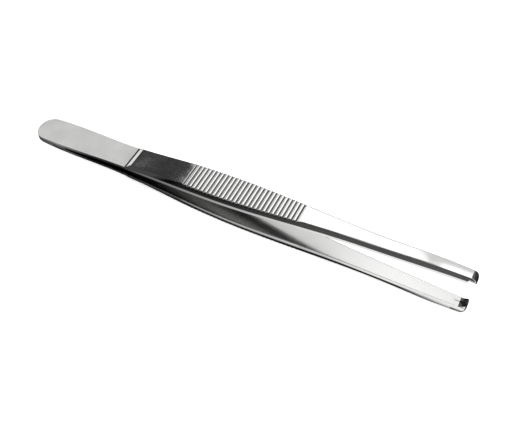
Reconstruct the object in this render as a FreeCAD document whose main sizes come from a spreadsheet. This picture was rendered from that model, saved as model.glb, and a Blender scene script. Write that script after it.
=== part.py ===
import FreeCAD, Part
import Sketcher
import math
import os

# Thumb forceps, 1 tooth against 2: two spring arms of stainless steel, welded at the butt.
# Each arm is modelled with its inner side towards the mid plane Z = 0, its butt at X = 0
# and its tip on +X. The same steps make both arms; only the teeth differ.
# At the end the pair is laid down as it rests on a table: on the flat ribbed pad of one arm.

Vector = FreeCAD.Vector
Rotation = FreeCAD.Rotation
Placement = FreeCAD.Placement

# Driving dimensions in millimetres. Half widths are measured from the centre line of the arm,
# gaps from the mid plane to the inner face, so that the opening between the arms is twice the gap.
DIMENSIONS = [
    # Stations along the arm
    ("weld_end_x", 12.5),
    ("neck_x", 25.0),
    ("step_x", 35.5),
    ("shoulder_x", 45.5),
    ("grip_start_x", 55.0),
    ("grip_middle_x", 72.0),
    ("grip_end_x", 91.0),
    ("taper_x", 105.0),
    ("jaw_x", 121.0),
    ("tip_x", 145.0),
    # Half width at each station
    ("butt_half", 4.4),
    ("weld_end_half", 4.95),
    ("neck_half", 4.58),
    ("step_half", 4.55),
    ("shoulder_half", 4.75),
    ("grip_start_half", 5.04),
    ("grip_middle_half", 5.12),
    ("grip_end_half", 3.95),
    ("taper_half", 2.98),
    ("jaw_half", 2.45),
    ("tip_half", 1.7),
    # Gap from the mid plane to the inner face
    ("slit_root_gap", 0.35),
    ("step_gap", 1.2),
    ("shoulder_gap", 1.62),
    ("grip_start_gap", 2.08),
    ("grip_middle_gap", 2.92),
    ("grip_end_gap", 3.82),
    ("taper_gap", 4.4),
    ("jaw_gap", 4.98),
    ("tip_gap", 5.69),
    # Thickness of the spring blade, which grows from the butt to the step
    ("butt_thickness", 0.8),
    ("weld_end_thickness", 1.35),
    ("neck_thickness", 0.92),
    ("blade_step_thickness", 0.92),
    # Thickness of the forged working length, from the step to the tip
    # The grip's middle is the forged bow, before its ribbed pad is ground flat
    ("step_thickness", 1.95),
    ("shoulder_thickness", 2.3),
    ("grip_start_thickness", 2.76),
    ("grip_middle_thickness", 2.96),
    ("grip_end_thickness", 2.81),
    ("taper_thickness", 2.66),
    ("jaw_thickness", 2.6),
    ("tip_thickness", 2.4),
    # Long edges: a square edge beside the inner face, then a bevel up to the outer face
    ("edge_height", 1.0),
    ("step_bevel", 0.8),
    ("shoulder_bevel", 0.66),
    ("grip_bevel", 0.64),
    ("grip_end_bevel", 0.45),
    ("taper_bevel", 0.36),
    ("tip_bevel", 0.2),
    # Slanted front of the raised working length
    ("step_front_height", 0.7),
    ("step_front_length", 1.15),
    # Rounded butt
    ("butt_corner_radius", 4.0),
    # Cross ribs of the grip
    ("first_groove_x", 55.9),
    ("rib_pitch", 1.352),
    ("groove_width", 1.1),
    ("groove_depth", 0.42),
    # Rounded nose: corners in plan and the outer face in profile
    ("nose_corner_radius", 1.3),
    ("nose_round_radius", 2.2),
    ("nose_overrun", 0.1),
    # Two side teeth with a V notch between them, against one centre tooth
    ("side_tooth_height", 1.3),
    ("side_tooth_length", 2.7),
    ("side_tooth_inset", 0.08),
    ("side_tooth_land", 0.12),
    ("centre_tooth_height", 0.9),
    ("centre_tooth_length", 2.3),
    ("centre_tooth_point", 0.05),
    ("notch_runout", 4.4),
    ("tooth_clearance", 0.06),
    ("tooth_root_depth", 0.4),
    ("tooth_hollow_radius", 4.0),
]

GROOVE_COUNT = 28
# How far cutting shapes run past the arm
PAST = 3.0
# How closely the resting pose follows the curved faces
FINE = 0.02
# The least volume that a feature may add or remove
LEAST_VOLUME = 1e-4

os.makedirs("parts", exist_ok=True)
doc = FreeCAD.newDocument("thumb_forceps")

dims = doc.addObject("Spreadsheet::Sheet", "dims")
for row, (alias, number) in enumerate(DIMENSIONS, start=1):
    dims.set(f"A{row}", alias)
    dims.set(f"B{row}", str(number))
    dims.setAlias(f"B{row}", alias)
doc.recompute()


def value(expression):
    """The number that an expression of the sheet gives now."""
    result = dims.evalExpression(expression)
    return float(getattr(result, "Value", result))


def origin_plane(body, role):
    for feature in body.Origin.OriginFeatures:
        if feature.Role == role:
            return feature
    raise ValueError(role)


def attach(body, sketch, role, away=None):
    """Put a sketch on one of the body's own planes, moved along its normal by an expression."""
    sketch.AttachmentSupport = [(origin_plane(body, role), "")]
    sketch.MapMode = "FlatFace"
    if away is not None:
        sketch.setExpression("AttachmentOffset.Base.z", away)
        doc.recompute()


def arc_between(start, end, radius, left):
    """An arc from start to end whose centre lies on the left or right of the way."""
    chord = end - start
    middle = (start + end) * 0.5
    side = Vector(-chord.y, chord.x, 0).normalize()
    reach = math.sqrt(max(radius ** 2 - chord.Length ** 2 / 4, 0.0))
    centre = middle + side * (reach if left else -reach)
    start_angle = math.atan2(start.y - centre.y, start.x - centre.x)
    end_angle = math.atan2(end.y - centre.y, end.x - centre.x)
    if not left:
        start_angle, end_angle = end_angle, start_angle
    circle = Part.Circle(centre, Vector(0, 0, 1), radius)
    return Part.ArcOfCircle(circle, start_angle, end_angle)


def draw_loop(sketch, corners, arcs=None):
    """Draw a closed outline whose corners, and the radii of its arcs, are bound to the sheet.

    corners holds pairs of expressions. arcs maps the number of an edge, counted from 0, to the
    expression of its radius and the side of its centre, left or right of the way.
    """
    arcs = arcs or {}
    first = sketch.GeometryCount
    count = len(corners)
    points = [Vector(value(across), value(up), 0) for across, up in corners]
    ends = []
    for number, start in enumerate(points):
        end = points[(number + 1) % count]
        if number in arcs:
            radius, side = arcs[number]
            left = side == "left"
            sketch.addGeometry(arc_between(start, end, value(radius), left), False)
            ends.append((1, 2) if left else (2, 1))
        else:
            sketch.addGeometry(Part.LineSegment(start, end), False)
            ends.append((1, 2))
    for number in range(count):
        following = (number + 1) % count
        sketch.addConstraint(Sketcher.Constraint(
            "Coincident", first + number, ends[number][1], first + following, ends[following][0]))
    for number, (across, up) in enumerate(corners):
        for kind, expression in (("DistanceX", across), ("DistanceY", up)):
            constraint = Sketcher.Constraint(
                kind, -1, 1, first + number, ends[number][0], value(expression))
            place = sketch.addConstraint(constraint)
            sketch.setExpression(f"Constraints[{place}]", expression)
    for number, (radius, side) in arcs.items():
        place = sketch.addConstraint(Sketcher.Constraint("Radius", first + number, value(radius)))
        sketch.setExpression(f"Constraints[{place}]", radius)


def sketch_on(body, name, role, corners, arcs=None, away=None):
    sketch = body.newObject("Sketcher::SketchObject", name)
    attach(body, sketch, role, away)
    draw_loop(sketch, corners, arcs)
    return sketch


reached_volume = {}


def checked(body, feature, grows):
    """Recompute a feature and make sure that it added or removed material as it should."""
    before = reached_volume.get(body.Name, 0.0)
    body.Tip = feature
    doc.recompute()
    after = feature.Shape.Volume
    if after < LEAST_VOLUME or (after > before) != grows or abs(after - before) < LEAST_VOLUME:
        raise RuntimeError(f"{feature.Name} changed the volume from {before:.3f} to {after:.3f}")
    reached_volume[body.Name] = after
    return feature


def loft(body, name, sections):
    feature = body.newObject("PartDesign::AdditiveLoft", name)
    feature.Profile = sections[0]
    feature.Sections = sections[1:]
    feature.Ruled = False
    return checked(body, feature, True)


def pad_both_ways(body, name, sketch, length):
    feature = body.newObject("PartDesign::Pad", name)
    feature.Profile = sketch
    feature.setExpression("Length", length)
    feature.Midplane = True
    return checked(body, feature, True)


def pocket_both_ways(body, name, sketch, length):
    feature = body.newObject("PartDesign::Pocket", name)
    feature.Profile = sketch
    feature.setExpression("Length", length)
    feature.Midplane = True
    return checked(body, feature, False)


def blade_section(body, station, place, half, top):
    """Rectangle from the mid plane to the outer face of the spring blade."""
    corners = [(f"-{half}", "0"), (half, "0"), (half, top), (f"-{half}", top)]
    return sketch_on(body, f"blade_at_{station}", "YZ_Plane", corners, away=place)


def forged_section(body, station, bevel, top):
    """Six-sided section of the working length: flat inner face, square edges, bevels, outer face."""
    half = f"dims.{station}_half"
    inner = f"dims.{station}_gap"
    edge = f"{inner} + dims.edge_height"
    crown = f"({half} - {bevel})"
    corners = [
        (f"-{half}", inner), (half, inner), (half, edge),
        (crown, top), (f"-{crown}", top), (f"-{half}", edge),
    ]
    return sketch_on(body, f"arm_at_{station}", "YZ_Plane", corners, away=f"dims.{station}_x")


def thick_height(station):
    """Height of the outer face above the mid plane at a station."""
    return f"(dims.{station}_gap + dims.{station}_thickness)"


def add_spring_blade(body):
    """Thin rear length, from the butt to the step, with the slit that parts the two arms."""
    neck_gap = ("(dims.slit_root_gap + (dims.step_gap - dims.slit_root_gap)"
                " * (dims.neck_x - dims.weld_end_x) / (dims.step_x - dims.weld_end_x))")
    sections = [
        blade_section(body, "butt", "0", "dims.butt_half", "dims.butt_thickness"),
        blade_section(body, "weld_end", "dims.weld_end_x", "dims.weld_end_half",
                      "dims.weld_end_thickness"),
        blade_section(body, "neck", "dims.neck_x", "dims.neck_half",
                      f"{neck_gap} + dims.neck_thickness"),
        blade_section(body, "step", "dims.step_x", "dims.step_half",
                      "dims.step_gap + dims.blade_step_thickness"),
    ]
    loft(body, "spring_blade", sections)
    slit = sketch_on(body, "slit_side", "XZ_Plane", [
        ("dims.weld_end_x", f"-{PAST}"),
        (f"dims.step_x + {PAST}", f"-{PAST}"),
        (f"dims.step_x + {PAST}", "dims.step_gap"),
        ("dims.step_x", "dims.step_gap"),
        ("dims.weld_end_x", "dims.slit_root_gap"),
    ])
    pocket_both_ways(body, "slit", slit, "4 * dims.butt_half")


def add_working_length(body):
    """Forged length from the step to the tip, with the bow of the grip and the tapered jaw."""
    sections = [
        forged_section(body, "step", "dims.step_bevel", thick_height("step")),
        forged_section(body, "shoulder", "dims.shoulder_bevel", thick_height("shoulder")),
        forged_section(body, "grip_start", "dims.grip_bevel", thick_height("grip_start")),
        forged_section(body, "grip_middle", "dims.grip_bevel", thick_height("grip_middle")),
        forged_section(body, "grip_end", "dims.grip_end_bevel", thick_height("grip_end")),
        forged_section(body, "taper", "dims.taper_bevel", thick_height("taper")),
        forged_section(body, "jaw", "dims.taper_bevel", thick_height("jaw")),
        forged_section(body, "tip", "dims.tip_bevel", thick_height("tip")),
    ]
    loft(body, "working_length", sections)


def bevel_step(body):
    """Slanted front of the working length, where it stands above the spring blade."""
    top = thick_height("step")
    foot = f"{top} - dims.step_front_height"
    above = f"{top} + {PAST} * dims.step_front_height / dims.step_front_length"
    sketch = sketch_on(body, "step_side", "XZ_Plane", [
        (f"dims.step_x - {PAST}", foot),
        ("dims.step_x", foot),
        (f"dims.step_x + dims.step_front_length + {PAST}", above),
        (f"dims.step_x - {PAST}", above),
    ])
    pocket_both_ways(body, "step_bevel", sketch, "4 * dims.step_half")


def round_butt(body):
    """Round the two upright corners of the butt."""
    base = body.Tip
    corners = []
    for number, edge in enumerate(base.Shape.Edges, start=1):
        box = edge.BoundBox
        if box.XMax < 1e-3 and box.YLength < 1e-3:
            corners.append(f"Edge{number}")
    fillet = body.newObject("PartDesign::Fillet", "butt_corners")
    fillet.Base = (base, corners)
    fillet.setExpression("Radius", "dims.butt_corner_radius")
    checked(body, fillet, False)


# Rise of the ribbed pad for each millimetre along the arm
PAD_SLOPE = (f"(({thick_height('grip_end')} - {thick_height('grip_start')})"
             " / (dims.grip_end_x - dims.grip_start_x))")


def pad_height(place):
    """Height of the flat ribbed pad above the mid plane at a place along the arm."""
    return f"({thick_height('grip_start')} + ({place} - dims.grip_start_x) * {PAD_SLOPE})"


def flatten_pad(body):
    """Grind the bow of the grip down to one flat pad, which is what the pair rests on."""
    front = f"(dims.grip_start_x - {PAST})"
    back = f"(dims.grip_end_x + {PAST})"
    sketch = sketch_on(body, "pad_side", "XZ_Plane", [
        (front, pad_height(front)),
        (back, pad_height(back)),
        (back, f"{pad_height(back)} + {PAST}"),
        (front, f"{pad_height(front)} + {PAST}"),
    ])
    pocket_both_ways(body, "flat_pad", sketch, "4 * dims.grip_middle_half")


def cut_ribs(body):
    """A row of V grooves across the flat pad, with narrow level crests left between them.

    The V is drawn as far above the pad as it is deep, so it is twice the groove's width there.
    """
    sketch = body.newObject("Sketcher::SketchObject", "groove_side")
    attach(body, sketch, "XZ_Plane")
    sketch.setExpression("AttachmentOffset.Base.x", "dims.first_groove_x")
    sketch.setExpression("AttachmentOffset.Base.y", pad_height("dims.first_groove_x"))
    sketch.setExpression("AttachmentOffset.Rotation.Angle", f"atan({PAD_SLOPE})")
    doc.recompute()
    draw_loop(sketch, [
        ("-dims.groove_width", "dims.groove_depth"),
        ("0", "-dims.groove_depth"),
        ("dims.groove_width", "dims.groove_depth"),
    ])
    groove = pocket_both_ways(body, "groove", sketch, "4 * dims.grip_middle_half")
    ribs = body.newObject("PartDesign::LinearPattern", "ribs")
    ribs.Originals = [groove]
    ribs.Direction = (sketch, ["H_Axis"])
    ribs.setExpression("Length", f"{GROOVE_COUNT - 1} * dims.rib_pitch")
    ribs.Occurrences = GROOVE_COUNT
    checked(body, ribs, False)


# Flank of the V notch and of the centre tooth: sideways run for each millimetre of height
FLANK = ("((dims.tip_half - dims.side_tooth_inset - dims.side_tooth_land)"
         " / (dims.side_tooth_height + dims.centre_tooth_height + dims.tooth_clearance))")


def add_tooth_wedge(body, height, length):
    """Hollow-ground wedge that stands inwards from the end of the inner face."""
    sketch = sketch_on(body, "tooth_side", "XZ_Plane", [
        (f"dims.tip_x - {length}", "dims.tip_gap"),
        ("dims.tip_x", f"dims.tip_gap - {height}"),
        ("dims.tip_x", "dims.tip_gap + dims.tooth_root_depth"),
        (f"dims.tip_x - {length}", "dims.tip_gap + dims.tooth_root_depth"),
    ], arcs={0: ("dims.tooth_hollow_radius", "right")})
    pad_both_ways(body, "tooth_wedge", sketch, "2 * (dims.tip_half - dims.side_tooth_inset)")


def add_two_teeth(body):
    """A wedge over the whole tip, parted into two side teeth by a V notch that runs out backwards."""
    add_tooth_wedge(body, "dims.side_tooth_height", "dims.side_tooth_length")
    sketch = body.newObject("Sketcher::SketchObject", "notch_front")
    attach(body, sketch, "YZ_Plane")
    depth = "(dims.centre_tooth_height + dims.tooth_clearance)"
    sketch.setExpression("AttachmentOffset.Base.z", "dims.tip_x")
    sketch.setExpression("AttachmentOffset.Base.y", f"dims.tip_gap + {depth}")
    sketch.AttachmentOffset = Placement(sketch.AttachmentOffset.Base, Rotation(Vector(1, 0, 0), 1))
    sketch.setExpression("AttachmentOffset.Rotation.Angle", f"-atan({depth} / dims.notch_runout)")
    doc.recompute()
    drop = f"(dims.side_tooth_height + {depth} + {PAST})"
    draw_loop(sketch, [
        ("0", "0"),
        (f"-{FLANK} * {drop}", f"-{drop}"),
        (f"{FLANK} * {drop}", f"-{drop}"),
    ])
    pocket_both_ways(body, "notch", sketch, "4 * dims.notch_runout")


def add_centre_tooth(body):
    """A wedge whose sides are cut away, into the arm too, so that the two side teeth find room."""
    add_tooth_wedge(body, "dims.centre_tooth_height", "dims.centre_tooth_length")
    sketch = body.newObject("Sketcher::SketchObject", "flanks_front")
    attach(body, sketch, "YZ_Plane", "dims.tip_x")
    point = "dims.tip_gap - dims.centre_tooth_height"
    out = "(2 * dims.tip_half)"
    for sign in ("", "-"):
        draw_loop(sketch, [
            (f"{sign}dims.centre_tooth_point", point),
            (f"{sign}{out}", f"{point} + {out} / {FLANK}"),
            (f"{sign}{out}", f"{point} - {PAST}"),
            (f"{sign}dims.centre_tooth_point", f"{point} - {PAST}"),
        ])
    pocket_both_ways(body, "flanks", sketch, "2 * dims.centre_tooth_length")


def round_nose(body):
    """Round the tip's corners in plan and its outer face in profile.

    The arcs pass the sides a little, by the overrun, so that each cut meets them cleanly.
    """
    end = "dims.tip_x"
    radius = "dims.nose_corner_radius"
    level = f"(dims.tip_half + dims.nose_overrun - {radius})"
    plan = body.newObject("Sketcher::SketchObject", "nose_plan")
    attach(body, plan, "XY_Plane")
    for sign, turn in (("", "left"), ("-", "right")):
        draw_loop(plan, [
            (end, f"{sign}{level}"),
            (f"{end} - {radius}", f"{sign}({level} + {radius})"),
            (f"{end} - {radius}", f"{sign}({level} + {radius} + {PAST})"),
            (f"{end} + {PAST}", f"{sign}({level} + {radius} + {PAST})"),
            (f"{end} + {PAST}", f"{sign}{level}"),
        ], arcs={0: (radius, turn)})
    pocket_both_ways(body, "nose_corners", plan, "8 * dims.tip_gap")
    radius = "dims.nose_round_radius"
    level = f"(dims.tip_gap + dims.tip_thickness + dims.nose_overrun - {radius})"
    side = sketch_on(body, "nose_side", "XZ_Plane", [
        (end, level),
        (f"{end} - {radius}", f"{level} + {radius}"),
        (f"{end} - {radius}", f"{level} + {radius} + {PAST}"),
        (f"{end} + {PAST}", f"{level} + {radius} + {PAST}"),
        (f"{end} + {PAST}", level),
    ], arcs={0: (radius, "left")})
    pocket_both_ways(body, "nose_round", side, "8 * dims.tip_half")


def build_arm(label, add_teeth):
    body = doc.addObject("PartDesign::Body", label)
    body.Label = label
    add_spring_blade(body)
    round_butt(body)
    add_working_length(body)
    bevel_step(body)
    flatten_pad(body)
    cut_ribs(body)
    add_teeth(body)
    round_nose(body)
    return body


def outer_profile(shape):
    """Corners of the outer side's convex profile, from the butt to the tip, as X and Z."""
    points, _ = shape.tessellate(FINE)
    profile = sorted({(round(point.x, 4), round(point.z, 4)) for point in points})
    hull = []
    for point in profile:
        while len(hull) > 1:
            (ax, az), (bx, bz) = hull[-2], hull[-1]
            if (bx - ax) * (point[1] - az) - (bz - az) * (point[0] - ax) < 0:
                break
            hull.pop()
        hull.append(point)
    return hull


def resting_line(arm, pair_centre_x):
    """The edge of the outer profile under the weight of the pair: what it comes to rest on."""
    hull = outer_profile(arm.Shape)
    for start, end in zip(hull, hull[1:]):
        along = Vector(end[0] - start[0], 0, end[1] - start[1])
        share = (pair_centre_x - start[0]) * along.x - start[1] * along.z
        if along.x > 0 and 0 <= share <= along.Length ** 2:
            return start, end
    raise RuntimeError("the pair rests on no edge of its profile")


def lay_down(upper, lower):
    """Turn the pair until the lower arm's resting line is level, with the box's underside at 0."""
    start, end = resting_line(lower, upper.Shape.Solids[0].CenterOfMass.x)
    tilt = math.degrees(math.atan2(end[1] - start[1], end[0] - start[0]))
    turned = Placement(Vector(0, 0, 0), Rotation(Vector(0, 1, 0), -tilt))
    flipped = Placement(Vector(0, 0, 0), Rotation(Vector(1, 0, 0), 180))
    upper.Placement = turned
    lower.Placement = turned.multiply(flipped)
    doc.recompute()
    points = [point for arm in (upper, lower) for point in arm.Shape.tessellate(FINE)[0]]
    middle = (min(point.x for point in points) + max(point.x for point in points)) / 2
    lowest = min(point.z for point in points)
    shift = Placement(Vector(-middle, 0, -lowest), Rotation())
    for arm in (upper, lower):
        arm.Placement = shift.multiply(arm.Placement)
    doc.recompute()
    print(f"lies on X {start[0]:.1f} to {end[0]:.1f} of the arm, tilted {tilt:.2f} degrees")


single = build_arm("single_tooth_arm", add_centre_tooth)
double = build_arm("double_tooth_arm", add_two_teeth)
lay_down(single, double)

for thing in doc.Objects:
    if "Invalid" in thing.State or "Error" in thing.State:
        raise RuntimeError(f"{thing.Name} is {thing.State}")
for arm in (single, double):
    shape = arm.Shape
    if shape.isNull() or not shape.isValid() or len(shape.Solids) != 1:
        raise RuntimeError(f"{arm.Label} is not one sound solid")
    box = shape.optimalBoundingBox()
    print(f"{arm.Label}: {shape.Volume:.1f} mm3, {len(shape.Faces)} faces, "
          f"{box.XLength:.2f} x {box.YLength:.2f} x {box.ZLength:.2f} mm")
    shape.exportStep(f"parts/{arm.Label}.step")
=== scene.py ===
# %% [markdown]
# # Thumb forceps in bright stainless steel
# A pair of thumb forceps is two spring arms welded at the butt. Each arm has a thin satin blade,
# a step, a ribbed pad for the fingers and a slim jaw with teeth at its tip. The frame holds both
# arms at their real size. Here they get fine surfaces, a finish, light and a camera.
#
# Polished metal shows every fault of a surface, because what you see is a reflection of the
# room. So both arms are skinned again with even rows of four-sided faces, measured from the
# frame, in place of its loose triangles.

# %% Load the frame
import math

import bmesh
import bpy
import numpy as np
from mathutils import Matrix, Vector


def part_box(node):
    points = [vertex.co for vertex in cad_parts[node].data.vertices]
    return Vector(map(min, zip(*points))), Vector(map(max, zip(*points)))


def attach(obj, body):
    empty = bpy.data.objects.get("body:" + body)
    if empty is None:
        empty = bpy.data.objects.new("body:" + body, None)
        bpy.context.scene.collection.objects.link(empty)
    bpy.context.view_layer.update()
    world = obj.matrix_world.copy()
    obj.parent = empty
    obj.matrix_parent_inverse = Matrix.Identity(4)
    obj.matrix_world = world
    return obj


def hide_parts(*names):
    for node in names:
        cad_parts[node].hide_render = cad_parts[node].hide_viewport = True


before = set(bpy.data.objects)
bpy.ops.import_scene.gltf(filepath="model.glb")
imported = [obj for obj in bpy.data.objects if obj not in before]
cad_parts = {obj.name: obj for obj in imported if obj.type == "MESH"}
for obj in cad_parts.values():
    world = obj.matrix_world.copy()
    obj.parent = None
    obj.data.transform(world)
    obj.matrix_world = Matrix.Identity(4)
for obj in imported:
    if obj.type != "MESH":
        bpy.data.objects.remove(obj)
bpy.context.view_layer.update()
MM = 0.001
UPPER = "single_tooth_arm"
LOWER = "double_tooth_arm"
print("frame holds", sorted(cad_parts))

# %% [markdown]
# ## The camera
# The photograph looks down on the forceps from in front, with the butt on the left. A camera is
# placed by the point it looks at, the direction it looks from and its distance. Its own axes are
# right, up and back, and these become the columns of its matrix. The roll turns it round its axis.
# The standard view transform shows a colour as it is, without the look of a film.

# %% Camera at the photograph's angle
AIM = Vector((6.45, -2.24, 2.28)) * MM
AZIMUTH = math.radians(21.49)
ELEVATION = math.radians(52.67)
ROLL = math.radians(5.79)
DISTANCE = 238.1 * MM
LENS = 55.48


def add_camera():
    """The camera that the picture is taken with."""
    back = Vector((math.sin(AZIMUTH) * math.cos(ELEVATION),
                   -math.cos(AZIMUTH) * math.cos(ELEVATION), math.sin(ELEVATION)))
    right = Vector((math.cos(AZIMUTH), math.sin(AZIMUTH), 0))
    up = back.cross(right)
    turn = Matrix((right, up, back)).transposed().to_4x4()
    data = bpy.data.cameras.new("camera")
    data.lens = LENS
    data.clip_start = MM
    camera = bpy.data.objects.new("camera", data)
    bpy.context.collection.objects.link(camera)
    camera.matrix_world = (Matrix.Translation(AIM + back * DISTANCE) @ turn
                           @ Matrix.Rotation(ROLL, 4, "Z"))
    bpy.context.scene.camera = camera
    return camera


camera = add_camera()
bpy.context.scene.view_settings.view_transform = "Standard"
print("camera at", [round(c / MM, 1) for c in camera.matrix_world.translation], "mm")

# %% [markdown]
# ## Where an arm lies
# It is easiest to shape an arm in its own frame: X from the butt to the tip, Z away from the mid
# plane between the arms. The welded face of the upper arm lies in that mid plane, so two rays
# that strike it give its slope, and the butt's outermost corner gives where X starts.

# %% Rays that measure the frame
WELD_NEAR = 3.0
WELD_FAR = 10.0


def strike(node, start, way):
    """Where a ray from start first meets a node of the frame."""
    found, place, _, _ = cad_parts[node].ray_cast(start, way)
    if not found:
        raise RuntimeError(f"a ray missed {node} at {start}")
    return place


def find_mid_plane():
    """Matrix that carries the upper arm's own frame into the shared one."""
    low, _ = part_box(UPPER)
    up = Vector((0, 0, 1))
    first, second = (strike(UPPER, (low[0] + x * MM, 0, -MM), up) for x in (WELD_NEAR, WELD_FAR))
    along = (second - first).normalized()
    tilt = math.atan2(along.z, along.x)
    corner = min((v.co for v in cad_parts[UPPER].data.vertices), key=lambda co: co.x)
    butt = first + along * (corner - first).dot(along)
    butt.y = 0
    return Matrix.Translation(butt) @ Matrix.Rotation(-tilt, 4, "Y"), tilt


upper_place, tilt = find_mid_plane()
PLACES = {UPPER: upper_place, LOWER: upper_place @ Matrix.Rotation(math.pi, 4, "X")}
print(f"mid plane tilted {math.degrees(tilt):.2f} degrees")

# %% [markdown]
# ## Measuring the sections
# Along most of its length an arm is a long smooth form, so a few sections say enough. At each
# station a ray from inside finds the inner face, one from outside the outer face, one from the
# side the half width and two more the slant of the bevel. A spline then passes through the
# stations, as a bent batten would, and gives any section between them. Straight lines between
# stations would be simpler, but polished steel shows the kink at each of them. All places are in
# millimetres from the butt, and on the ribs the stations lie on crests, never in a groove.

# %% Stations and splines
BUTT_RADIUS = 4.0
WELD_END = 12.5
STEP = 35.5
TIP = 145.0
EDGE = 1.0
FIRST_GROOVE = 55.9
RIB_PITCH = 1.352
GROOVES = 28
GROOVE_WIDTH = 1.1
GROOVE_DEPTH = 0.42
CRESTS = [FIRST_GROOVE + (count + 0.5) * RIB_PITCH for count in (4, 10, 16, 22, 26)]
BLADE_STATIONS = [4.4, 8.5, 12.7, 18.5, 25.0, 30.0, 35.2]
PAD_STATIONS = [37.1, 40.5, 45.5, 50.5, 55.1]
JAW_STATIONS = [94.5, 99, 105, 113, 121, 129, 135, 140.2]
WORK_STATIONS = PAD_STATIONS + CRESTS + JAW_STATIONS
AWAY = 30.0
INSIDE = -0.3
ABOVE_INNER = 0.4
BELOW_OUTER = (0.1, 0.3)


def measure(node, x):
    """Inner height, outer height, half width and half width of the outer face at a station."""
    place = PLACES[node]
    back = place.inverted()

    def ray(start, way):
        hit = strike(node, place @ (Vector(start) * MM), place.to_3x3() @ Vector(way))
        return (back @ hit) / MM

    inner = ray((x, 0, INSIDE), (0, 0, 1)).z
    outer = ray((x, 0, AWAY), (0, 0, -1)).z
    half = -ray((x, -AWAY, inner + ABOVE_INNER), (0, 1, 0)).y
    high, low = (-ray((x, -AWAY, outer - depth), (0, 1, 0)).y for depth in BELOW_OUTER)
    slant = (low - high) / (BELOW_OUTER[1] - BELOW_OUTER[0])
    return inner, outer, half, min(half, high - slant * BELOW_OUTER[0])


def batten(places, values):
    """A smooth curve through points: a natural cubic spline, straight past its ends."""
    places = np.array(places, float)
    values = np.array(values, float)
    gaps = np.diff(places)
    slopes = np.diff(values) / gaps
    system = np.eye(len(places))
    bends = np.zeros(len(places))
    for i in range(1, len(places) - 1):
        system[i, i - 1:i + 2] = gaps[i - 1], 2 * (gaps[i - 1] + gaps[i]), gaps[i]
        bends[i] = 6 * (slopes[i] - slopes[i - 1])
    bends = np.linalg.solve(system, bends)

    def at(x):
        i = int(np.clip(np.searchsorted(places, x) - 1, 0, len(gaps) - 1))
        inside = min(max(x, places[i]), places[i + 1])
        before = inside - places[i]
        after = places[i + 1] - inside
        gap = gaps[i]
        height = ((bends[i] * after ** 3 + bends[i + 1] * before ** 3) / (6 * gap)
                  + (values[i] / gap - bends[i] * gap / 6) * after
                  + (values[i + 1] / gap - bends[i + 1] * gap / 6) * before)
        slope = ((bends[i + 1] * before ** 2 - bends[i] * after ** 2) / (2 * gap)
                 + slopes[i] - (bends[i + 1] - bends[i]) * gap / 6)
        return float(height + slope * (x - inside))

    return at


def section_curves(node):
    """Splines of the four measures, for the blade and for the working length."""
    curves = {}
    for part, stations in (("blade", BLADE_STATIONS), ("work", WORK_STATIONS)):
        rows = np.array([measure(node, x) for x in stations])
        curves[part] = [batten(stations, rows[:, column]) for column in range(4)]
    slit = [measure(node, x)[0] for x in (BLADE_STATIONS[2], BLADE_STATIONS[-1])]
    curves["slit"] = batten([BLADE_STATIONS[2], BLADE_STATIONS[-1]], slit)
    return curves


CURVES = {node: section_curves(node) for node in (UPPER, LOWER)}
for node in CURVES:
    inner, outer, half, crown = (curve(TIP) for curve in CURVES[node]["work"])
    print(f"{node} tip: inner {inner:.2f}, outer {outer:.2f}, half {half:.2f}, crown {crown:.2f} mm")

# %% [markdown]
# ## One ring of the skin
# Every ring is drawn with seven points a side, from the middle of the inner face round to the
# outer face: four on the inner face, its corner, the top of the square edge and the edge of the
# outer face. On the jaw the inner four become the teeth. Keeping the count the same everywhere is
# what lets one ring be extruded into the next.

# %% Rings of the blade
INNER_SHARES = (0.06, 0.25, 0.8, 0.9)
FILLET = 0.9
BUTT_TURNS = range(0, 90, 6)
WELD_RINGS = 9
SLIT_RINGS = 24


def ring_points(x, inner, outer, half, crown, edge):
    """Half a ring, from the middle of the inner face to the edge of the outer face."""
    points = [(x, half * share, inner) for share in INNER_SHARES]
    points += [(x, half, inner), (x, half, inner + edge), (x, crown, outer)]
    return points


def blade_ring(node, x, inner):
    """Rectangular ring of the blade, drawn in round the butt's corners."""
    _, outer, half, _ = (curve(x) for curve in CURVES[node]["blade"])
    if x < BUTT_RADIUS:
        half += math.sqrt(BUTT_RADIUS ** 2 - (BUTT_RADIUS - x) ** 2) - BUTT_RADIUS
    return ring_points(x, inner, outer, half, half, (outer - inner) / 2)


def blade_rings(node):
    """Round the butt, along the weld, and along the slit to the foot of the step."""
    slit = CURVES[node]["slit"]
    turns = [math.radians(angle) for angle in BUTT_TURNS]
    rings = [blade_ring(node, BUTT_RADIUS * (1 - math.cos(turn)), 0) for turn in turns]
    rings += [blade_ring(node, x, 0) for x in np.linspace(BUTT_RADIUS, WELD_END, WELD_RINGS)]
    behind = np.linspace(WELD_END, STEP - FILLET, SLIT_RINGS)
    rings += [blade_ring(node, x, slit(x)) for x in behind]
    return rings


print("blade", len(blade_rings(UPPER)), "rings")

# %% [markdown]
# ## Step, ribs and jaw
# The blade rises to the ribbed pad by a step: a hollow fillet, a slanted front and a small brow.
# Each groove between the ribs is a row of rings that dip along the bevels and come up again. The
# profile gives, for each ring of a groove, its place between the edges and its share of the depth.

# %% Rings of the step, the ribs and the jaw
FRONT_HEIGHT = 0.7
FRONT_LENGTH = 1.15
FILLET_SHARES = (0.2, 0.4, 0.6, 0.8)
BROW = 0.1
PAD_START = 0.6
PAD_RINGS = 21
JAW_RINGS = 49
RIB_PROFILE = [(-1.0, 0.0), (-0.8, 0.005), (-0.7, 0.06), (-0.06, 0.78),
               (0.06, 0.78), (0.7, 0.06), (0.8, 0.005), (1.0, 0.0)]
NOTCH_RUNOUT = 4.4


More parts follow.
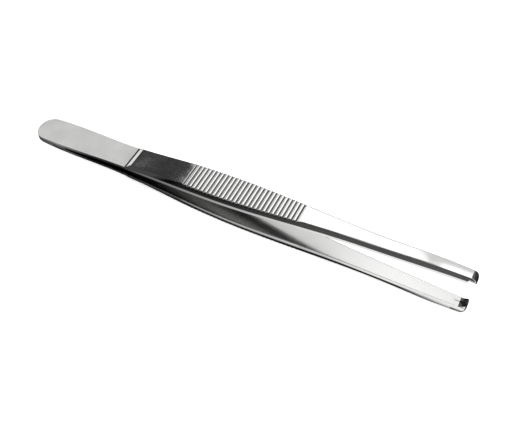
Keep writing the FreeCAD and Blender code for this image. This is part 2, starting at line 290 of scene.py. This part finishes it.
def work_ring(node, x, drop=0.0, shift=0.0):
    """Six-sided ring of the working length. A drop lowers its outer face along the bevels."""
    inner, outer, half, crown = (curve(x) for curve in CURVES[node]["work"])
    lean = (half - crown) / (outer - inner - EDGE)
    points = ring_points(x, inner, outer - drop, half, crown + lean * drop, EDGE)
    last = points[-1]
    points[-1] = (last[0] + shift, last[1], last[2])
    return points


def fillet_rings(node):
    """The hollow curve between the blade and the slanted front of the step."""
    slit = CURVES[node]["slit"]
    start = CURVES[node]["blade"][1](STEP - FILLET)
    end = CURVES[node]["work"][1](STEP) - FRONT_HEIGHT
    rings = []
    for share in FILLET_SHARES:
        x = STEP - FILLET * (1 - share)
        ring = blade_ring(node, x, slit(x))
        rise = start + (end - start) * share ** 2 - ring[-1][2]
        rings.append(ring[:-1] + [(x, ring[-1][1], ring[-1][2] + rise)])
    return rings


def grip_rings(node):
    """From the slanted front of the step, over the ribs, to the start of the teeth."""
    outer = CURVES[node]["work"][1]
    slope = outer(CRESTS[-1]) - outer(CRESTS[0])
    slope /= CRESTS[-1] - CRESTS[0]
    reach = GROOVE_WIDTH / 2
    last = FIRST_GROOVE + (GROOVES - 1) * RIB_PITCH
    rise = (outer(STEP + FRONT_LENGTH) - outer(STEP)) / FRONT_LENGTH
    brow = STEP + FRONT_HEIGHT / (FRONT_HEIGHT / FRONT_LENGTH - rise)
    lift = BROW * FRONT_HEIGHT / (brow - STEP)
    rings = fillet_rings(node) + [work_ring(node, STEP, FRONT_HEIGHT)]
    rings += [work_ring(node, brow - BROW, lift), work_ring(node, brow + BROW)]
    pad = np.linspace(brow + PAD_START, FIRST_GROOVE - reach, PAD_RINGS)[:-1]
    rings += [work_ring(node, x) for x in pad]
    for count in range(GROOVES):
        x = FIRST_GROOVE + count * RIB_PITCH
        for share, depth in RIB_PROFILE:
            drop = depth * GROOVE_DEPTH
            rings.append(work_ring(node, x + share * reach, drop, drop * slope))
    jaw = np.linspace(last + reach, TIP - NOTCH_RUNOUT, JAW_RINGS)[1:]
    rings += [work_ring(node, x) for x in jaw]
    return rings


print("step, ribs and jaw", len(grip_rings(UPPER)), "rings")

# %% [markdown]
# ## Teeth
# The lower arm ends in two side teeth with a V notch between them, and the upper arm in one tooth
# that drops into that notch. All are hollow ground from behind, so their height grows along an
# arc. They could be cut out with booleans, but those leave long thin faces that reflect unevenly.
# So each ring of the tip is worked out from the notch, the tooth and the rounding of the nose.

# %% Rings of the two tips
SIDE_HEIGHT = 1.3
SIDE_LENGTH = 2.7
SIDE_INSET = 0.08
SIDE_LAND = 0.12
CENTRE_HEIGHT = 0.9
CENTRE_LENGTH = 2.3
CENTRE_POINT = 0.05
CLEARANCE = 0.06
HOLLOW_RADIUS = 4.0
NOSE_CORNER = 1.3
NOSE_ROUND = 2.2
OVERRUN = 0.1
THIN = 0.02
FLANK_SHARES = (0.25, 0.5, 0.75, 1.0)
NOSE_TURNS = range(18, 91, 4)
ROOT_RINGS = 9


def tooth_height(x, height, length):
    """Height of a hollow-ground tooth: an arc from its root to its point."""
    chord = math.hypot(height, length)
    reach = math.sqrt(HOLLOW_RADIUS ** 2 - chord ** 2 / 4)
    centre_x = TIP - length / 2 - height / chord * reach
    depth = height / 2 + length / chord * reach
    if x <= TIP - length:
        return 0.0
    return depth - math.sqrt(HOLLOW_RADIUS ** 2 - (x - centre_x) ** 2)


def nose_limits(x, outer, tip_half, tip_outer):
    """The widest and highest that the rounded nose allows at a place along the arm."""
    run = max(x - (TIP - NOSE_CORNER), 0)
    wide = tip_half + OVERRUN - NOSE_CORNER + math.sqrt(max(NOSE_CORNER ** 2 - run ** 2, 0))
    run = max(x - (TIP - NOSE_ROUND), 0)
    high = tip_outer + OVERRUN - NOSE_ROUND + math.sqrt(max(NOSE_ROUND ** 2 - run ** 2, 0))
    return wide, min(high, outer)


def tip_measures(node, x):
    """What both tips start from: the section, drawn in by the nose, and two slants."""
    inner, outer, half, crown = (curve(x) for curve in CURVES[node]["work"])
    _, tip_outer, tip_half, _ = (curve(TIP) for curve in CURVES[node]["work"])
    wide, high = nose_limits(x, outer, tip_half, tip_outer)
    lean = (half - crown) / (outer - inner - EDGE)
    crown = min(crown + lean * (outer - high), half)
    flank = (tip_half - SIDE_INSET - SIDE_LAND) / (SIDE_HEIGHT + CENTRE_HEIGHT + CLEARANCE)
    return inner, high, min(half, wide), min(crown, wide), wide, lean, flank, half


def two_tooth_ring(node, x):
    """Half a ring of the lower tip: the notch, a side tooth and its cheek, then the outside."""
    inner, high, half, crown, wide, _, flank, _ = tip_measures(node, x)
    rise = tooth_height(x, SIDE_HEIGHT, SIDE_LENGTH)
    root = (CENTRE_HEIGHT + CLEARANCE) * (x - TIP + NOTCH_RUNOUT) / NOTCH_RUNOUT
    tip_half = CURVES[node]["work"][2](TIP)
    outside = min(tip_half - SIDE_INSET, wide)
    shoulder = min((root + rise) * flank, outside)
    low = inner + root - shoulder / flank
    cheek = low if shoulder == outside else inner - rise
    foot = max(inner, low) if shoulder == outside else inner
    return [
        (x, THIN / 2, min(inner + root, high - THIN)),
        (x, max(shoulder, THIN), low),
        (x, max(outside, THIN), cheek),
        (x, max(outside, THIN), foot),
        (x, half, foot),
        (x, half, max(min(inner + EDGE, high), foot)),
        (x, crown, high),
    ]


def one_tooth_ring(node, x):
    """Half a ring of the upper tip: the ridge of the tooth, its flank, then the outside."""
    inner, high, half, crown, wide, lean, flank, full = tip_measures(node, x)
    rise = tooth_height(x, CENTRE_HEIGHT, CENTRE_LENGTH)
    point = inner - CENTRE_HEIGHT
    ridge = CENTRE_POINT + (CENTRE_HEIGHT - rise) * flank
    meet = (full + lean * EDGE + lean * CENTRE_HEIGHT + CENTRE_POINT / flank * lean)
    meet = min(meet / (1 + lean / flank), wide, CENTRE_POINT + (high - point) * flank)
    top = point + (meet - CENTRE_POINT) / flank
    points = [(x, ridge / 2, inner - rise), (x, ridge, inner - rise)]
    for share in FLANK_SHARES:
        height = inner - rise + (top - inner + rise) * share
        points.append((x, ridge + (meet - ridge) * share, height))
    points.append((x, max(crown, meet) if high - top < THIN else crown, max(high, top)))
    return points


def tip_rings(node):
    """From where the notch begins, over the teeth and round the nose."""
    nose = [TIP - NOSE_ROUND * (1 - math.sin(math.radians(angle))) for angle in NOSE_TURNS]
    if node == LOWER:
        places = list(np.linspace(TIP - NOTCH_RUNOUT, TIP - SIDE_LENGTH, ROOT_RINGS))
        places += list(np.linspace(TIP - SIDE_LENGTH, nose[0], 6)[1:-1]) + nose
        return [two_tooth_ring(node, x) for x in places]
    root = TIP - CENTRE_LENGTH
    flat = [work_ring(node, x) for x in np.linspace(TIP - NOTCH_RUNOUT, root, ROOT_RINGS)[1:]]
    places = list(np.linspace(root, nose[0], 5)[:-1]) + nose
    return flat + [one_tooth_ring(node, x) for x in places]


print("tips", {node: len(tip_rings(node)) for node in (UPPER, LOWER)}, "rings")

# %% [markdown]
# ## Rounded edges
# No real edge is sharp, and on steel its rounding shows as a fine line. A Bevel modifier could
# make it, but with overlap clamped its width is set by the shortest edge of the whole mesh, here
# next to nothing. So each outer corner of a ring gives way to three points, which makes thirteen
# a side. A reach says how far the rounding goes back from the corner and on from it, in
# millimetres, but never as far as half a side.

# %% Round the corners of the rings
HALF_SIDE = 0.45
EASE_INNER = (0.07, 0.07)
EASE_SIDE = (0.1, 0.1)
EASE_OUTER = (0.18, 0.36)
EASE_RIBS = (0.05, 0.07)


def eased(before, corner, after, reaches):
    """Three points that round a corner of a ring, as polishing does."""
    before, corner, after = Vector(before), Vector(corner), Vector(after)
    ends = []
    for other, reach in ((before, reaches[0]), (after, reaches[1])):
        side = other - corner
        ends.append(corner + side * min(reach / max(side.length, THIN), HALF_SIDE))
    turn = ends[0] * 0.25 + corner * 0.5 + ends[1] * 0.25
    return [tuple(ends[0]), tuple(turn), tuple(ends[1])]


def rounded(half_ring):
    """Half a ring with its three outer corners rounded."""
    points = half_ring[:4]
    x, _, z = half_ring[6]
    points += eased(half_ring[3], half_ring[4], half_ring[5], EASE_INNER)
    points += eased(half_ring[4], half_ring[5], half_ring[6], EASE_SIDE)
    ribbed = -1 < (x - FIRST_GROOVE) / RIB_PITCH < GROOVES
    points += eased(half_ring[5], half_ring[6], (x, 0, z), EASE_RIBS if ribbed else EASE_OUTER)
    return points


RINGS = {}
for node in (UPPER, LOWER):
    rings = blade_rings(node) + grip_rings(node) + tip_rings(node)
    RINGS[node] = [rounded(half_ring) for half_ring in rings]
print("points a side", len(RINGS[UPPER][0]))

# %% [markdown]
# ## Skinning an arm
# A loft would join the rings at once, but Blender has none, and bridging loops may twist where
# two rings differ much. Extruding keeps every row straight. The first ring is a filled circle
# primitive with as many corners as a whole ring. Each corner gets a number of its own, its place
# in the ring. An extruded corner keeps its number, so after each extrusion the new corners know
# where they belong.

# %% Extrude ring after ring
CORNERS = 2 * len(RINGS[UPPER][0])
WELD_DISTANCE = 0.002


def full_ring(half_ring):
    """A whole ring in order: up one side and down the other."""
    mirrored = [(x, -y, z) for x, y, z in half_ring]
    return [Vector(point) * MM for point in half_ring + mirrored[::-1]]


def select_only(obj):
    bpy.ops.object.select_all(action="DESELECT")
    obj.select_set(True)
    bpy.context.view_layer.objects.active = obj


def skin_arm(node, name):
    """Extrude one ring into the next, merge what lies together and put the arm in its place."""
    bpy.ops.object.select_all(action="DESELECT")
    bpy.ops.mesh.primitive_circle_add(vertices=CORNERS, radius=MM, fill_type="NGON")
    arm = bpy.context.object
    arm.name = arm.data.name = name
    bpy.ops.object.mode_set(mode="EDIT")
    bpy.ops.mesh.select_all(action="SELECT")
    for number, half_ring in enumerate(RINGS[node]):
        if number:
            bpy.ops.mesh.extrude_region_move(TRANSFORM_OT_translate={"value": (0, 0, 0)})
        grid = bmesh.from_edit_mesh(arm.data)
        place = grid.verts.layers.int.get("place") or grid.verts.layers.int.new("place")
        points = full_ring(half_ring)
        grid.verts.ensure_lookup_table()
        for vertex in grid.verts:
            if not number:
                vertex[place] = vertex.index
            if vertex.select:
                vertex.co = points[vertex[place]]
        bmesh.update_edit_mesh(arm.data)
    bpy.ops.mesh.select_all(action="SELECT")
    bpy.ops.mesh.remove_doubles(threshold=WELD_DISTANCE * MM)
    bpy.ops.mesh.normals_make_consistent(inside=False)
    bpy.ops.object.mode_set(mode="OBJECT")
    arm.data.transform(PLACES[node])
    arm.data.update()
    return arm


arms = {UPPER: skin_arm(UPPER, "upper_arm"), LOWER: skin_arm(LOWER, "lower_arm")}
for node, arm in arms.items():
    print(arm.name, len(arm.data.polygons), "faces")

# %% [markdown]
# ## Smooth shading
# The rings already carry the small roundings of the long edges. Shading by angle smooths every
# turn but the sharp ones of the teeth. Smooth shading alone would spread each rounding over the
# large faces beside it, so weighted normals let a large face keep its own direction, and only
# the narrow strips of a rounding blend.

# %% Smooth the arms
SHARP = math.radians(38)
AREA_WEIGHT = 50


def finish_edges(arm):
    """Smooth an arm by angle and weight its normals by face area."""
    select_only(arm)
    bpy.ops.object.shade_smooth_by_angle(angle=SHARP)
    weighted = arm.modifiers.new("flat_faces", "WEIGHTED_NORMAL")
    weighted.mode = "FACE_AREA"
    weighted.weight = AREA_WEIGHT
    weighted.keep_sharp = True
    bpy.ops.object.modifier_apply(modifier=weighted.name)
    print(arm.name, "has", sum(edge.use_edge_sharp for edge in arm.data.edges), "sharp edges")


for arm in arms.values():
    finish_edges(arm)

# %% [markdown]
# ## Steel
# On the real forceps the working length is polished, the flat before the ribs is buffed, the blade
# has a satin finish, and the inner faces and the teeth are ground. All are the same metal, and
# wheels leave the same marks on it: soft clouds, a fine grain and faint lines along the arm. They
# could come from a picture of steel, but that would blur close up and show another room. Noise
# stays sharp at any distance, so one node group makes the marks for every finish. It puts out a
# roughness, a height and a tone.

# %% Marks that wheels leave on steel
CLOUD_SCALE = 170
GRAIN_SCALE = 3000
LINE_SCALE = (60, 4000, 4000)
SMOOTHEST = 0.05


def noise_value(nodes, links, vector, scale, detail):
    """A Noise Texture of a scale, with its number of finer layers."""
    noise = nodes.new("ShaderNodeTexNoise")
    noise.inputs["Scale"].default_value = scale
    noise.inputs["Detail"].default_value = detail
    links.new(vector, noise.inputs["Vector"])
    return noise.outputs["Fac"]


def math_value(nodes, links, operation, *values):
    """A Math node. Numbers go on its sockets and outputs are linked to them."""
    node = nodes.new("ShaderNodeMath")
    node.operation = operation
    for socket, value in zip(node.inputs, values):
        if isinstance(value, (int, float)):
            socket.default_value = value
        else:
            links.new(value, socket)
    return node.outputs["Value"]


def centred_noise(nodes, links, vector, scale, detail):
    """Noise that swings round 0 instead of 0.5."""
    return math_value(nodes, links, "SUBTRACT", noise_value(nodes, links, vector, scale, detail), 0.5)


def make_finish():
    """The node group that every finish shares."""
    group = bpy.data.node_groups.new("steel_finish", "ShaderNodeTree")
    for name in ("Roughness", "Clouds", "Grain"):
        group.interface.new_socket(name, in_out="INPUT", socket_type="NodeSocketFloat")
    for name in ("Roughness", "Height", "Tone"):
        group.interface.new_socket(name, in_out="OUTPUT", socket_type="NodeSocketFloat")
    nodes, links = group.nodes, group.links
    given = nodes.new("NodeGroupInput").outputs
    result = nodes.new("NodeGroupOutput").inputs
    place = nodes.new("ShaderNodeTexCoord").outputs["Object"]
    clouds = centred_noise(nodes, links, place, CLOUD_SCALE, 3)
    grain = centred_noise(nodes, links, place, GRAIN_SCALE, 2)
    stretch = nodes.new("ShaderNodeMapping")
    stretch.inputs["Scale"].default_value = LINE_SCALE
    links.new(place, stretch.inputs["Vector"])
    lines = noise_value(nodes, links, stretch.outputs["Vector"], 1, 2)
    cloudy = math_value(nodes, links, "MULTIPLY_ADD", clouds, given["Clouds"], given["Roughness"])
    rough = math_value(nodes, links, "MULTIPLY_ADD", grain, given["Grain"], cloudy)
    links.new(math_value(nodes, links, "MAXIMUM", rough, SMOOTHEST), result["Roughness"])
    links.new(lines, result["Height"])
    links.new(math_value(nodes, links, "ADD", clouds, 0.5), result["Tone"])
    return group


FINISH = make_finish()
print("shared group", FINISH.name, "with", len(FINISH.nodes), "nodes")

# %% [markdown]
# ## Finishes
# A finish says how bright and how rough the steel is, how far clouds and grain change that, and
# how high the lines stand in millimetres. Satin steel scatters so much light that it is partly
# matte. The ground inner faces are darkened towards the weld: painted shade of the slit, where
# the arms shade each other. A picture could carry it, but a shade that follows the X of Object
# coordinates needs none.

# %% Materials
TONE_SPREAD = 0.12
WARMTH = 0.99
SLIT_SHADE = {"From Min": -0.04, "From Max": 0.035, "To Min": 0.34}


def mixed(nodes, links, factor, first, second, blend="MIX"):
    """A Mix node for colours. Plain values go on its sockets and outputs are linked to them."""
    node = nodes.new("ShaderNodeMix")
    node.data_type = "RGBA"
    node.blend_type = blend
    for socket, value in (("Factor", factor), ("A", first), ("B", second)):
        if isinstance(value, bpy.types.NodeSocket):
            links.new(value, node.inputs[socket])
        else:
            node.inputs[socket].default_value = value
    return node.outputs["Result"]


def object_axes(nodes, links):
    """The X, Y and Z of Object coordinates."""
    split = nodes.new("ShaderNodeSeparateXYZ")
    links.new(nodes.new("ShaderNodeTexCoord").outputs["Object"], split.inputs["Vector"])
    return split.outputs


def painted_slit_shade(nodes, links, colour):
    """Darken a colour towards the weld: painted shade of the slit between the arms."""
    depth = nodes.new("ShaderNodeMapRange")
    for socket, value in SLIT_SHADE.items():
        depth.inputs[socket].default_value = value
    links.new(object_axes(nodes, links)["X"], depth.inputs["Value"])
    return mixed(nodes, links, 1, colour, depth.outputs["Result"], "MULTIPLY")


def steel(name, brightness, roughness, clouds, grain, lines, matte=0.0, inside=False):
    """Steel of one finish."""
    material = bpy.data.materials.new(name)
    material.use_nodes = True
    nodes, links = material.node_tree.nodes, material.node_tree.links
    shader = nodes["Principled BSDF"]
    shader.inputs["Metallic"].default_value = 1.0 - matte
    finish = nodes.new("ShaderNodeGroup")
    finish.node_tree = FINISH
    for socket, value in (("Roughness", roughness), ("Clouds", clouds), ("Grain", grain)):
        finish.inputs[socket].default_value = value
    low, high = (brightness * (1 + spread) for spread in (-TONE_SPREAD, TONE_SPREAD))
    tones = [(grey, grey, grey * WARMTH, 1) for grey in (low, high)]
    colour = mixed(nodes, links, finish.outputs["Tone"], *tones)
    # Painted shade of the slit on the inner faces.
    if inside:
        colour = painted_slit_shade(nodes, links, colour)
    bump = nodes.new("ShaderNodeBump")
    bump.inputs["Distance"].default_value = lines * MM
    links.new(colour, shader.inputs["Base Color"])
    links.new(finish.outputs["Height"], bump.inputs["Height"])
    links.new(finish.outputs["Roughness"], shader.inputs["Roughness"])
    links.new(bump.outputs["Normal"], shader.inputs["Normal"])
    return material


POLISHED = steel("polished_steel", 0.8, 0.08, 0.08, 0.02, 0.0003)
BUFFED = steel("buffed_steel", 0.8, 0.12, 0.25, 0.03, 0.0003)
SATIN = steel("satin_steel", 0.86, 0.6, 0.4, 0.1, 0.002, matte=0.45)
# The ground inner faces carry the painted shade of the slit.
GROUND = steel("ground_steel", 0.88, 0.2, 0.1, 0.04, 0.0005, inside=True)
# The teeth get a nearly black steel: painted shade where the two tips meet.
PAINTED_TEETH_SHADE = steel("teeth_painted_shade", 0.14, 0.3, 0.1, 0.04, 0.0005)
FINISHES = (POLISHED, SATIN, GROUND, BUFFED, PAINTED_TEETH_SHADE)
print("finishes", [material.name for material in FINISHES])

# %% [markdown]
# ## Which face gets which finish
# A real finish ends where its wheel stopped: at the step, at the first rib or at the edge of a
# face. Faces could be picked by hand, but a rule is exact and survives a change of shape. So each
# face is asked how far along the arm it lies and which way it looks. After that each arm holds its
# finishes, the CAD node it stands in for is hidden, and it is hung on the root body.

# %% Dress the arms
OUTER_LIMIT = -0.75
INNER_LIMIT = 0.95
TEETH_SHADE_LIMIT = 0.15
TEETH_SHADE_FROM = TIP - 2.5


def finish_of(facing, along):
    """Finish of a face. Facing is 1 where it looks at the other arm and -1 where it looks away."""
    if facing < OUTER_LIMIT and along < STEP - FILLET:
        return SATIN
    # Faces of the teeth get the painted shade of the tips.
    if facing > TEETH_SHADE_LIMIT and along > TEETH_SHADE_FROM:
        return PAINTED_TEETH_SHADE
    if facing > INNER_LIMIT:
        return GROUND
    if facing < OUTER_LIMIT and STEP + FRONT_LENGTH < along < FIRST_GROOVE - GROOVE_WIDTH / 2:
        return BUFFED
    return POLISHED


def dress(node, arm):
    """Give each face of an arm its finish."""
    arm.data.materials.clear()
    for material in FINISHES:
        arm.data.materials.append(material)
    back = PLACES[node].inverted()
    inwards = PLACES[node].to_3x3() @ Vector((0, 0, -1))
    for face in arm.data.polygons:
        finish = finish_of(face.normal.dot(inwards), (back @ face.center).x / MM)
        face.material_index = FINISHES.index(finish)


for node, arm in arms.items():
    dress(node, arm)
    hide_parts(node)
    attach(arm, "root")
    print(arm.name, "replaces", node)

# %% [markdown]
# ## Floor
# The forceps lie on a plain white floor. Stronger light would make it white too, but it would burn
# out the steel. So its material adds a little glow of its own to what the camera and reflections
# see, and the soft shadow under the arms stays. It lies a little low, because a card for the
# reflections comes between it and the arms.

# %% White floor
FLOOR_SIZE = 8.0
FLOOR_DROP = 0.3
FLOOR_WHITE = (0.95, 0.95, 0.95, 1)
FLOOR_LIFT = 0.6


def seen_directly(nodes, links):
    """1 for rays from the camera, from a reflection or through glass, and 0 for all others."""
    rays = nodes.new("ShaderNodeLightPath").outputs
    seen = math_value(nodes, links, "MAXIMUM", rays["Is Camera Ray"], rays["Is Glossy Ray"])
    return math_value(nodes, links, "MAXIMUM", seen, rays["Is Transmission Ray"])


def add_floor():
    """The floor, with a lift that only direct rays see."""
    bpy.ops.object.select_all(action="DESELECT")
    bpy.ops.mesh.primitive_plane_add(size=FLOOR_SIZE, location=(0, 0, -FLOOR_DROP * MM))
    floor = bpy.context.object
    floor.name = "floor"
    material = bpy.data.materials.new("floor_white")
    material.use_nodes = True
    nodes, links = material.node_tree.nodes, material.node_tree.links
    shader = nodes["Principled BSDF"]
    shader.inputs["Base Color"].default_value = FLOOR_WHITE
    shader.inputs["Roughness"].default_value = 1.0
    shader.inputs["Specular IOR Level"].default_value = 0.0
    shader.inputs["Emission Color"].default_value = (1, 1, 1, 1)
    lift = math_value(nodes, links, "MULTIPLY", seen_directly(nodes, links), FLOOR_LIFT)
    links.new(lift, shader.inputs["Emission Strength"])
    floor.data.materials.append(material)
    return floor


floor = add_floor()
print(floor.name, FLOOR_SIZE, "m wide")

# %% [markdown]
# ## Studio
# Polished steel has no colour of its own: it shows the room. The room here is a plain white world.
# A world is the simplest even light, and it has no lamps whose hard spots would show in the steel.

# %% World
WORLD_LIGHT = 1.0


def add_world():
    """White light from all round."""
    world = bpy.data.worlds.new("studio")
    bpy.context.scene.world = world
    world.use_nodes = True
    background = world.node_tree.nodes["Background"]
    background.inputs["Color"].default_value = (1, 1, 1, 1)
    background.inputs["Strength"].default_value = WORLD_LIGHT
    return world


world = add_world()
print("world", world.name, "of strength", WORLD_LIGHT)

# %% [markdown]
# ## Soft boxes and cards
# In a white room alone, white steel would vanish. Two soft boxes, a little brighter than the room,
# stand behind, where the outer faces look, and dark or grey cards stand where the bevels, the
# edges and the inner faces look, so that these show as dark lines and shades. A lamp can't do
# that, because it only adds light. The cards are hidden from the camera and from diffuse rays, so
# that only reflections show them. Each is given by the direction in which the steel sees it: an
# angle round from straight behind, and a height above the floor, both in degrees.

# %% Hang a card
CARD_AWAY = 2.6


def glow(name, strength):
    """Material that only shines: a soft box, or with little strength a dark card."""
    material = bpy.data.materials.new(name)
    material.use_nodes = True
    nodes, links = material.node_tree.nodes, material.node_tree.links
    nodes.clear()
    light = nodes.new("ShaderNodeEmission")
    light.inputs["Strength"].default_value = strength
    out = nodes.new("ShaderNodeOutputMaterial")
    links.new(light.outputs["Emission"], out.inputs["Surface"])
    return material


def for_reflections(card, material):
    """Give a card its material and hide it from the camera and from diffuse rays."""
    card.name = material.name
    card.data.materials.append(material)
    card.visible_camera = False
    card.visible_diffuse = False


def hang_card(name, around, heights, strength):
    """A flat card, square to the forceps' view of it, between two angles each way."""
    middle = math.radians(sum(around) / 2)
    height = math.radians(sum(heights) / 2)
    way = Vector((math.sin(middle) * math.cos(height), math.cos(middle) * math.cos(height),
                  math.sin(height)))
    width = 2 * CARD_AWAY * math.tan(math.radians(around[1] - around[0]) / 2) * math.cos(height)
    tall = 2 * CARD_AWAY * math.tan(math.radians(heights[1] - heights[0]) / 2)
    bpy.ops.object.select_all(action="DESELECT")
    bpy.ops.mesh.primitive_plane_add(size=1, location=way * CARD_AWAY,
                                     rotation=way.to_track_quat("-Z", "Y").to_euler())
    card = bpy.context.object
    card.scale = (width, tall, 1)
    for_reflections(card, glow(name, strength))


print("cards hang", CARD_AWAY, "m away")

# %% Soft boxes, dark cards and grey cards
BRIGHT = 1.35
DARK = 0.045
GREY = 0.12
CARDS = {
    "soft_box": ((-42, -16.5), (43, 53), BRIGHT),
    "high_box": ((-12, 8), (51.9, 76), BRIGHT),
    "low_card": ((-17, 8), (38, 52), 0.75),
    "high_left_card": ((-40, -23), (53, 66), 0.05),
    "high_card": ((-27, -14), (53, 66), 0.25),
    "left_card": ((-66, -42), (-4, 62), DARK),
    "side_card": ((-130, -64), (-4, 64), DARK),
    "back_card": ((-44, 34), (-4, 43), DARK),
    "right_card": ((9, 84), (30, 62), GREY),
    "low_right_card": ((32, 84), (-4, 32), DARK),
    "front_card": ((-205, -128), (-4, 66), 0.07),
}

for name, (around, heights, strength) in CARDS.items():
    hang_card(name, around, heights, strength)
print("soft boxes and cards", len(CARDS))

# %% [markdown]
# ## Graded card on the table
# The near bevels, the square edges and the undersides look down at the table, and on the photograph
# they fade along the arms from dark to white. A card that lies under the arms, shown only by
# reflections, gives that fade. It needs no picture: one ramp runs along the arms close to them and
# one further out, a third brings the first over into the second, and a fourth keeps the light to a
# strip beside the arms, dark right at them and dark again far away. A ramp's stops are places and
# brightnesses from 0 to 1.
# The card's tones are painted light and shade of the table as the steel sees it: darker towards the
# butt, a painted shadow of the arms in the dark strip right beside them, and a painted pale patch
# behind the butt.

# %% Ramps of the table card
ALONG = (-0.08, 0.08)
ACROSS = (0.0, 0.05)
TAPER_FROM = 0.008
TAPER = 0.053
CLOSE = [(0.0, 0.03), (0.28, 0.03), (0.4, 0.06), (0.48, 0.18), (0.56, 0.34), (0.66, 0.65),
         (0.78, 1.0)]
FAR = [(0.0, 0.5), (0.08, 0.35), (0.17, 0.03), (0.24, 0.05), (0.29, 0.17), (0.38, 0.3),
       (0.5, 0.55), (0.64, 0.85), (0.72, 1.0)]
CLOSE_TO_FAR = [(0.0, 0.0), (0.135, 0.0), (0.15, 1.0), (1.0, 1.0)]
# Dark right at the arms: painted shadow of the arms on the table.
LIT = [(0.0, 0.02), (0.1, 0.02), (0.12, 1.0), (0.375, 1.0), (0.4, 0.1), (1.0, 0.08)]
# A painted pale patch of light behind the butt.
PATCH = (-0.07, 0.015)
PAINTED_LIGHT_TONE = (0.9, 0.9, 0.9, 1)


def ramp(nodes, links, source, stops):
    """A colour ramp in grey, with stops of place and brightness, driven by a value."""
    node = nodes.new("ShaderNodeValToRGB")
    elements = node.color_ramp.elements
    elements[0].position, elements[0].color = stops[0][0], (*[stops[0][1]] * 3, 1)
    elements[1].position, elements[1].color = stops[-1][0], (*[stops[-1][1]] * 3, 1)
    for position, grey in stops[1:-1]:
        elements.new(position).color = (grey, grey, grey, 1)
    links.new(source, node.inputs["Fac"])
    return node.outputs["Color"]


def scaled(nodes, links, source, low, high):
    """Carry a value between low and high to 0..1."""
    node = nodes.new("ShaderNodeMapRange")
    node.inputs["From Min"].default_value = low
    node.inputs["From Max"].default_value = high
    links.new(source, node.inputs["Value"])
    return node.outputs["Result"]


def painted_table_light(nodes, links):
    """Painted table light and shade beside the arms, and a painted pale patch behind the butt for the
    step.
    """
    axes = object_axes(nodes, links)
    past = math_value(nodes, links, "SUBTRACT", axes["X"], TAPER_FROM)
    past = math_value(nodes, links, "MAXIMUM", past, 0)
    beside = math_value(nodes, links, "MULTIPLY", axes["Y"], -1)
    beside = math_value(nodes, links, "MULTIPLY_ADD", past, TAPER, beside)
    along = scaled(nodes, links, axes["X"], *ALONG)
    across = scaled(nodes, links, beside, *ACROSS)
    fade = mixed(nodes, links, ramp(nodes, links, across, CLOSE_TO_FAR),
                 ramp(nodes, links, along, CLOSE), ramp(nodes, links, along, FAR))
    fade = mixed(nodes, links, 1, fade, ramp(nodes, links, across, LIT), "MULTIPLY")
    left = math_value(nodes, links, "LESS_THAN", axes["X"], PATCH[0])
    behind = math_value(nodes, links, "GREATER_THAN", axes["Y"], PATCH[1])
    return mixed(nodes, links, math_value(nodes, links, "MULTIPLY", left, behind), fade, PAINTED_LIGHT_TONE)


print("ramps with", [len(stops) for stops in (CLOSE, FAR, CLOSE_TO_FAR, LIT)], "stops")

# %% Table card
TABLE_CARD = 3.9
CARD_DROP = 0.1


def add_table_card():
    """The graded card, flat between the floor and the arms."""
    bpy.ops.object.select_all(action="DESELECT")
    bpy.ops.mesh.primitive_plane_add(size=2 * TABLE_CARD, location=(0, 0, -CARD_DROP * MM))
    card = bpy.context.object
    material = glow("table_card", 1.0)
    nodes, links = material.node_tree.nodes, material.node_tree.links
    links.new(painted_table_light(nodes, links), nodes["Emission"].inputs["Color"])
    card.visible_shadow = False
    for_reflections(card, material)
    return card


table_card = add_table_card()
print(table_card.name, "reaches", TABLE_CARD, "m each way")
